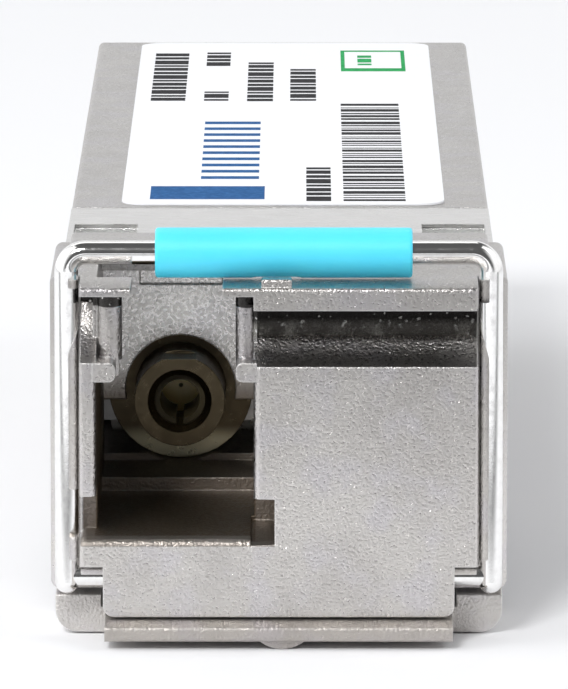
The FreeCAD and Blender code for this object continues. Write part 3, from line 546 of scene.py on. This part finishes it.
def ceramic(name, dark, bright, gloss):
    """Polished zirconia, slightly translucent."""
    look = Look(name)
    cloud = look.noise(2.5, 3.0)
    look.set(Base_Color=look.mix(cloud, dark, bright), Roughness=0.20, Specular_IOR_Level=gloss,
             Subsurface_Weight=0.2, Subsurface_Radius=(0.0003, 0.0003, 0.0002), Subsurface_Scale=1.0,
             Normal=look.bump(cloud, 0.0006, look.soft_normal(0.03)))
    return look.mat


def optical_glass():
    """Clear glass with a faint coating."""
    look = Look("optical_glass")
    film = look.noise(1.4, 2.0)
    look.set(Base_Color=look.mix(film, (0.90, 0.95, 0.97), (0.85, 0.90, 0.98)), Roughness=0.03,
             Transmission_Weight=0.9, IOR=1.5)
    return look.mat


def moulded(name, dark, bright, rough, grain=0.003):
    """Moulded or fired body with a fine matte grain."""
    look = Look(name)
    fine = look.noise(18.0, 2.0)
    cloud = look.noise(1.2, 2.0)
    look.set(Base_Color=look.mix(cloud, dark, bright), Roughness=look.vary(fine, rough, rough + 0.15),
             Normal=look.bump(fine, grain, look.soft_normal(TOOL_EDGE_R)))
    return look.mat


def solder_mask():
    """Green board: glossy mask over copper tracks and a faint glass weave."""
    look = Look("solder_mask")
    wave = look.tree.nodes.new("ShaderNodeTexWave")
    wave.wave_type = "BANDS"
    wave.bands_direction = "X"
    look.plug(wave.inputs["Vector"], look.place)
    wave.inputs["Scale"].default_value = 0.55
    wave.inputs["Distortion"].default_value = 1.5
    tracks = look.span(wave.outputs["Fac"], 0.55, 0.62)
    weave = look.noise(3.0, 1.0, 0.5, stretch=(2.0, 0.4, 1.0))
    look.set(Base_Color=look.mix(tracks, (0.010, 0.10, 0.045), (0.022, 0.20, 0.085)),
             Roughness=look.vary(weave, 0.22, 0.34), Coat_Weight=0.4,
             Normal=look.bump(look.math("ADD", tracks, look.times(weave, 0.3)), 0.01))
    return look.mat


def paint(name, material):
    """Gives a carried-over CAD node its material."""
    mesh = NODES[name].data
    mesh.materials.clear()
    mesh.materials.append(material)


def paint_cad_nodes():
    """Every CAD node that stays visible, by material."""
    steel = machined("plain_steel", (0.50, 0.50, 0.50), (0.62, 0.62, 0.61), 0.26, 0.40)
    optics = machined("optics_steel", (0.52, 0.50, 0.45), (0.64, 0.62, 0.57), 0.24, 0.38)
    gold = machined("gold_plate", (0.80, 0.58, 0.22), (0.90, 0.68, 0.30), 0.18, 0.28)
    chip = moulded("moulding_compound", (0.018, 0.018, 0.020), (0.035, 0.035, 0.036), 0.50)
    flex = moulded("polyimide", (0.42, 0.20, 0.03), (0.55, 0.28, 0.05), 0.25, 0.001)
    housing = cast_nickel("cast_nickel_housing", shade=port_shade, smooth=groove_polish_and_shade)
    cover = cast_nickel("cast_nickel_cover", smooth=pit_painted_light)
    lever = cast_nickel("cast_nickel_lever", 0.040, lip_shade, matte=0.10, upper_shade_offset=-0.16)
    wall = cast_nickel("cast_nickel_wall", 0.017, wall_shade, wall_polish, upper_shade_offset=-0.42)
    # Painted shade: the sleeve deep in the port is coloured near black-brown
    sleeve = ceramic("ceramic_sleeve", (0.050, 0.039, 0.021), (0.072, 0.058, 0.032), 0.04)
    stub = ceramic("ceramic_stub", (1.0, 0.78, 0.34), (1.0, 0.85, 0.42), 0.22)
    capacitor = moulded("fired_ceramic", (0.30, 0.20, 0.12), (0.42, 0.30, 0.19), 0.35)
    inductor = moulded("ferrite", (0.05, 0.05, 0.055), (0.09, 0.09, 0.095), 0.55)
    looks = {
        housing: ("base_housing",),
        cover: ("top_cover",),
        lever: ("release_lever",),
        wall: ("receptacle_block",),
        spring_sheet(): ("emi_spring_collar",),
        polished_wire(): ("bail_wire",),
        sleeve: ("split_sleeve",),
        stub: ("fibre_stub",),
        turned_barrel(): ("receptacle_barrel",),
        steel: ("cover_screws", "lever_pivot_pin", "receptacle_clamp"),
        optics: ("optics_body",),
        optical_glass(): ("wavelength_filter", "ball_lens"),
        gold: ("laser_can", "laser_leads", "photodiode_can", "photodiode_leads", "contact_pads"),
        flex: ("laser_flex", "photodiode_flex"),
        solder_mask(): ("main_board",),
        chip: ("driver_chip", "amplifier_chip", "microcontroller"),
        capacitor: ("chip_capacitors",),
        inductor: ("chip_inductors",),
    }
    for material, names in looks.items():
        for name in names:
            paint(name, material)


# ---- Grip -------------------------------------------------------------------------------------------------

GRIP_CORNER_R = 0.10
GRIP_SWELL = 0.006
GRIP_INSET = 0.004
GRIP_HOLE_R = 0.375
GRIP_STATIONS = 110
GRIP_AROUND = 72
# The notch over the nub: where it is, how far under the grip's axis it is flat, and how its ends run out
NUB_X = (-0.72, 0.60)
NUB_FLAT = 0.70
NUB_RAMP = 0.08


def grip_radius(radius, from_end, t):
    """The sleeve's radius at a distance from its nearer end; t runs from 0 to 1 along it."""
    corner = GRIP_CORNER_R
    shrink = corner - math.sqrt(max(corner ** 2 - max(corner - from_end, 0) ** 2, 0))
    return radius - shrink - GRIP_INSET + GRIP_SWELL * math.sin(math.pi * t)


def flattened(r, down, share):
    """The reach of the sleeve's skin, cut to a flat where it points down."""
    if down <= 0:
        return r
    return r + (min(r, NUB_FLAT / down) - r) * share


def grip_skin(low, high):
    """Points of the sleeve's outside, ring by ring from its left end."""
    centre = (low + high) / 2
    radius = (high.y - low.y) / 2
    verts = []
    for i in range(GRIP_STATIONS + 1):
        t = i / GRIP_STATIONS
        x = low.x + (high.x - low.x) * (0.5 - 0.5 * math.cos(math.pi * t))
        r = grip_radius(radius, min(x - low.x, high.x - x), t)
        share = clamped((x - NUB_X[0]) / NUB_RAMP + 0.5) * clamped((NUB_X[1] - x) / NUB_RAMP + 0.5)
        for k in range(GRIP_AROUND):
            turn = 2 * math.pi * k / GRIP_AROUND
            down = -math.cos(turn)
            reach = flattened(r, down, share)
            verts.append((x, centre.y + reach * math.sin(turn), centre.z - reach * down))
    return verts


def make_grip():
    """Moulded sleeve: rounded ends, faint swell between them and a shallow notch over the nub."""
    low, high = node_box("bail_grip")
    centre = (low + high) / 2
    verts = grip_skin(low, high)
    faces = [list(reversed(face)) for face in ring_faces(GRIP_STATIONS + 1, GRIP_AROUND)]
    for ring, x, flip in ((0, low.x, False), (GRIP_STATIONS, high.x, True)):
        start = len(verts)
        for k in range(GRIP_AROUND):
            turn = 2 * math.pi * k / GRIP_AROUND
            verts.append((x, centre.y + GRIP_HOLE_R * math.sin(turn),
                          centre.z + GRIP_HOLE_R * math.cos(turn)))
        for k in range(GRIP_AROUND):
            after = (k + 1) % GRIP_AROUND
            first = ring * GRIP_AROUND
            end = [first + k, first + after, start + after, start + k]
            faces.append(list(reversed(end)) if flip else end)
    finish_piece(make_piece("grip_sleeve", verts, faces), grip_rubber(), "bail_grip", "bail")


# ---- Label ------------------------------------------------------------------------------------------------

INK_SINK = 0.002
INK_RISE = 0.004
INK_BLACK = (0.012, 0.012, 0.014)
INK_BLUE = (0.008, 0.085, 0.25)
INK_GREEN = (0.01, 0.30, 0.08)
DASHES = (0.75, 0.42, 0.98, 0.60)
DASH_GAPS = (0.24, 0.30, 0.26)
STRIPES = (0.40, 0.18, 0.60, 0.18, 0.28, 0.18, 0.50)
STRIPE_GAPS = (0.24, 0.44, 0.22, 0.34)
# Left, right, start and end of each column of dashes, from the label's front left corner, and its first dash
DASH_COLUMNS = (
    (0.55, 1.75, 23.5, 36.2, 0),
    (2.4, 3.25, 23.5, 25.8, 1),
    (2.4, 3.25, 32.4, 36.4, 2),
    (3.9, 4.8, 23.4, 33.5, 3),
    (5.4, 6.3, 23.5, 31.7, 1),
    (5.95, 6.75, 0.4, 8.2, 2),
)


def make_label():
    """Film label on the lid, with its generic print as thin raised ink."""
    low, high = node_box("product_label")
    outline = rounded_outline(low.x, high.x, low.y, high.y, 0.8)
    film = plate("label_film", outline, low.z, high.z, crown=0.02)
    finish_piece(film, label_film(), "product_label", "module")
    print_black(low, high)
    print_blue(low, high)
    print_green(low, high)


def ink_bar(x0, x1, y0, y1, level):
    """One printed bar, a little proud of the film."""
    outline = ((x1, y1), (x0, y1), (x0, y0), (x1, y0))
    return plate("bar", outline, level - INK_SINK, level + INK_RISE)


def dash_column(left, right, start, end, level, seed):
    """A column of short dashes in place of a line of print; it runs along the module."""
    bars = []
    y = start
    k = seed
    while y < end - 0.3:
        dash = min(DASHES[k % len(DASHES)], end - y)
        bars.append(ink_bar(left, right, y, y + dash, level))
        y += dash + DASH_GAPS[k % len(DASH_GAPS)]
        k += 1
    return bars


def stripe_block(left, right, start, end, level):
    """Bars of uneven width across the module."""
    bars = []
    y = start
    k = 0
    while y < end:
        width = STRIPES[(k * 5 + k // 3) % len(STRIPES)]
        bars.append(ink_bar(left, right, y, y + width, level))
        y += width + STRIPE_GAPS[(k * 3 + k // 5) % len(STRIPE_GAPS)]
        k += 1
    return bars


def finish_print(name, bars, ink):
    """Joins the bars of one colour into one piece."""
    print_piece = merge(name, bars)
    print_piece.data.materials.append(ink)
    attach(print_piece, "module")


def print_black(low, high):
    """A block of stripes and six columns of dashes; none of it is lettering."""
    bars = stripe_block(high.x - 3.25, high.x - 1.25, low.y + 0.4, low.y + 22.5, high.z)
    for left, right, start, end, seed in DASH_COLUMNS:
        bars += dash_column(low.x + left, low.x + right, low.y + start, low.y + end, high.z, seed)
    finish_print("label_print_black", bars, print_ink("ink_black", INK_BLACK))


def print_blue(low, high):
    """Ten thin bars and a wide one."""
    count = 10
    pitch = 1.4
    width = 0.6
    left = low.x + 2.5
    right = low.x + 4.4
    bars = []
    for k in range(count):
        y = low.y + 5.2 + pitch * k
        bars.append(ink_bar(left, right, y, y + width, high.z))
    bars.append(ink_bar(low.x + 0.9, low.x + 4.6, low.y + 0.8, low.y + 3.6, high.z))
    finish_print("label_print_blue", bars, print_ink("ink_blue", INK_BLUE))


def print_green(low, high):
    """A plain frame round a few dashes."""
    x0 = high.x - 3.2
    x1 = high.x - 0.9
    y0 = low.y + 31.0
    y1 = low.y + 36.5
    side = 0.14
    near = y0 + 0.8
    far = y1 - 0.35
    bars = [ink_bar(x0, x1, y0, near, high.z), ink_bar(x0, x1, far, y1, high.z),
            ink_bar(x0, x0 + side, near, far, high.z), ink_bar(x1 - side, x1, near, far, high.z)]
    bars += dash_column(x0 + 0.6, x0 + 1.1, y0 + 1.6, y1 - 0.9, high.z, 1)
    finish_print("label_print_green", bars, print_ink("ink_green", INK_GREEN))


# ---- Gasket, thermal pad and spring -----------------------------------------------------------------------

def make_gasket():
    """Two soft beads in the wall grooves, with narrower ends."""
    low, high = node_box("cover_gasket")
    radius = 0.12
    from_side = 0.13
    end_size = 0.6
    steps = 40
    section = [(math.cos(math.radians(a)), math.sin(math.radians(a))) for a in range(0, 360, 30)]
    verts = []
    faces = []
    for side in (-1, 1):
        cx = side * (high.x - from_side)
        start = len(verts)
        for i in range(steps + 1):
            y = low.y + (high.y - low.y) * i / steps
            size = radius * (end_size if i in (0, steps) else 1.0)
            for c, s in section:
                verts.append((cx + size * c, y, (low.z + high.z) / 2 + size * s))
        faces += ring_faces(steps + 1, len(section), start) + cap_faces(steps + 1, len(section), start)
    rubber = moulded("conductive_rubber", (0.05, 0.05, 0.052), (0.09, 0.09, 0.09), 0.6)
    finish_piece(make_piece("gasket_bead", verts, faces), rubber, "cover_gasket", "module")


def make_thermal_pad():
    """Gap filler squeezed between the driver chip and the floor, so its sides bulge."""
    low, high = node_box("thermal_pad")
    outline = rounded_outline(low.x, high.x, low.y, high.y, 0.3, 4)
    centre = (low + high) / 2
    squeeze = 0.06
    levels = 9
    verts = []
    for i in range(levels):
        t = i / (levels - 1)
        bulge = 1 - squeeze + squeeze * math.sin(math.pi * t)
        for x, y in outline:
            verts.append((centre.x + (x - centre.x) * bulge, centre.y + (y - centre.y) * bulge,
                          low.z + (high.z - low.z) * t))
    faces = ring_faces(levels, len(outline)) + cap_faces(levels, len(outline))
    filler = moulded("gap_filler", (0.36, 0.42, 0.46), (0.44, 0.50, 0.53), 0.65)
    finish_piece(make_piece("gap_filler", verts, faces), filler, "thermal_pad", "module")


def make_spring():
    """The lever's coil, built at the CAD spring's length; in the module it shortens as the lever rocks. Its
    first and last turns lie flat.
    """
    low, high = node_box("latch_spring")
    centre = (low + high) / 2
    wire_r = 0.11
    coil_r = (high.x - low.x) / 2 - wire_r
    turns = 4.5
    flat_share = 0.1
    steps = 216
    around = 10
    bottom = low.z + wire_r
    top = high.z - wire_r
    verts = []
    for i in range(steps + 1):
        t = i / steps
        turn = 2 * math.pi * turns * t
        rise = clamped((t - flat_share) / (1 - 2 * flat_share))
        out = Vector((math.cos(turn), math.sin(turn), 0))
        spot = Vector((centre.x, centre.y, bottom + (top - bottom) * rise)) + out * coil_r
        for k in range(around):
            a = 2 * math.pi * k / around
            verts.append(spot + out * wire_r * math.cos(a) + Vector((0, 0, wire_r * math.sin(a))))
    faces = ring_faces(steps + 1, around) + cap_faces(steps + 1, around)
    coil = make_piece("lever_coil", verts, faces)
    wire = machined("spring_wire", (0.5, 0.5, 0.5), (0.66, 0.66, 0.65), 0.2, 0.3)
    finish_piece(coil, wire, "latch_spring", "module")
    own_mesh(coil)


# ---- Stage ------------------------------------------------------------------------------------------------

FLOOR_HALF = 3000
FLOOR_GAP = 0.01
BAND_NEAR_Y = (-70.0, -20.0)
BAND_FAR_Y = (-105.0, -85.0)
BAND_SHARE = 0.92
BACKDROP_LIGHT = 0.90
AMBIENT_LIGHT = 0.10
STUDIO_WHITE = (0.985, 0.99, 1.0, 1)
# Name, azimuth and elevation in degrees, distance and size in metres, power in watts
SOFT_BOXES = (
    ("key", 20, 40, 0.5, (0.12, 0.12), 1.5),
    ("left_box", 80, 50, 0.6, (0.35, 0.35), 0.5),
    ("right_box", -85, 50, 0.6, (0.35, 0.35), 0.4),
    ("rear_box", 165, 55, 0.7, (0.5, 0.3), 0.6),
)
CAMERA_SPOT = Vector((0.67, -275.6, 51.96))
CAMERA_DOWN_DEG = 9.598
CAMERA_TURN_DEG = 0.109
SENSOR_MM = 36
LENS_MM = 466.4


def make_floor():
    """White paper. Reflections see a dim band in front, where the camera stands in the light."""
    level = CAD_BOX[0][2] / MM - FLOOR_GAP
    corners = [(x * FLOOR_HALF, y * FLOOR_HALF, level) for x, y in ((-1, -1), (1, -1), (1, 1), (-1, 1))]
    floor = make_piece("floor", corners, [[0, 1, 2, 3]], smooth=False)
    look = Look("floor_paper")
    mottle = look.noise(0.02, 3.0)
    paper = look.mix(mottle, (0.90, 0.905, 0.925), (0.92, 0.925, 0.94))
    seen = look.tree.nodes.new("ShaderNodeLightPath").outputs["Is Camera Ray"]
    forward = look.axis("Y")
    band = look.times(look.span(forward, *BAND_NEAR_Y, BAND_SHARE, 0.0), look.span(forward, *BAND_FAR_Y))
    unlit = look.times(band, look.math("SUBTRACT", 1.0, seen))
    look.set(Base_Color=look.mix(unlit, paper, (0.05, 0.05, 0.05)), Roughness=0.7)
    floor.data.materials.append(look.mat)


def area_light(name, azimuth, elevation, distance, size, power):
    """A soft box aimed at the nose. Azimuth runs from straight in front towards the left, in degrees."""
    turn = math.radians(azimuth)
    rise = math.radians(elevation)
    away = Vector((-math.sin(turn) * math.cos(rise), -math.cos(turn) * math.cos(rise), math.sin(rise)))
    data = bpy.data.lights.new(name, "AREA")
    data.shape = "RECTANGLE"
    data.size, data.size_y = size
    data.energy = power
    light = bpy.data.objects.new(name, data)
    light.location = away * distance
    light.rotation_euler = away.to_track_quat("Z", "Y").to_euler()
    bpy.context.scene.collection.objects.link(light)


def make_world():
    """Studio: dark in front and overhead, bright behind and at both sides."""
    world = bpy.data.worlds.new("studio")
    world.use_nodes = True
    bpy.context.scene.world = world
    tree = world.node_tree
    back = tree.nodes["Background"]

    def node(kind, *inputs, **settings):
        made = tree.nodes.new("ShaderNode" + kind)
        for key, value in settings.items():
            setattr(made, key, value)
        for socket, value in zip(made.inputs, inputs):
            if isinstance(value, bpy.types.NodeSocket):
                tree.links.new(value, socket)
            else:
                socket.default_value = value
        return made

    def ramp(value, low, high, out_low, out_high):
        made = node("MapRange", value, low, high, out_low, out_high, interpolation_type="SMOOTHSTEP")
        return made.outputs[0]

    def calc(operation, a, b):
        return node("Math", a, b, operation=operation).outputs[0]

    place = node("TexCoord").outputs["Generated"]
    axes = node("SeparateXYZ", place).outputs
    side_height = ramp(axes["Z"], 0.70, 0.95, 1.0, 0.0)
    rear_height = ramp(axes["Z"], 0.40, 0.75, 1.0, 0.0)
    left = calc("MULTIPLY", ramp(axes["X"], -0.70, -0.25, 1.25, 0.0), side_height)
    right = calc("MULTIPLY", ramp(axes["X"], 0.32, 0.72, 0.0, 1.0), side_height)
    rear = calc("MULTIPLY", ramp(axes["Y"], 0.10, 0.50, 0.0, 0.95), rear_height)
    glow = calc("ADD", calc("MAXIMUM", calc("MAXIMUM", left, right), rear), AMBIENT_LIGHT)
    seen = node("LightPath").outputs["Is Camera Ray"]
    unseen = calc("SUBTRACT", 1.0, seen)
    level = calc("ADD", calc("MULTIPLY", seen, BACKDROP_LIGHT), calc("MULTIPLY", unseen, glow))
    back.inputs["Color"].default_value = STUDIO_WHITE
    tree.links.new(level, back.inputs["Strength"])


def make_lights():
    """Soft boxes inside the studio's own glow."""
    make_world()
    for soft_box in SOFT_BOXES:
        area_light(*soft_box)
    bpy.context.scene.view_settings.view_transform = "Standard"


def make_camera():
    """Long lens, just right of centre and 9.6 degrees above the horizontal."""
    data = bpy.data.cameras.new("camera")
    data.sensor_width = SENSOR_MM
    data.lens = LENS_MM
    data.clip_start = 0.01
    data.clip_end = 50
    camera = bpy.data.objects.new("camera", data)
    camera.location = CAMERA_SPOT * MM
    camera.rotation_euler = (math.radians(90 - CAMERA_DOWN_DEG), 0, math.radians(CAMERA_TURN_DEG))
    bpy.context.scene.collection.objects.link(camera)
    bpy.context.scene.camera = camera


paint_cad_nodes()
make_grip()
make_label()
make_gasket()
make_thermal_pad()
make_spring()
make_floor()
make_lights()
make_camera()
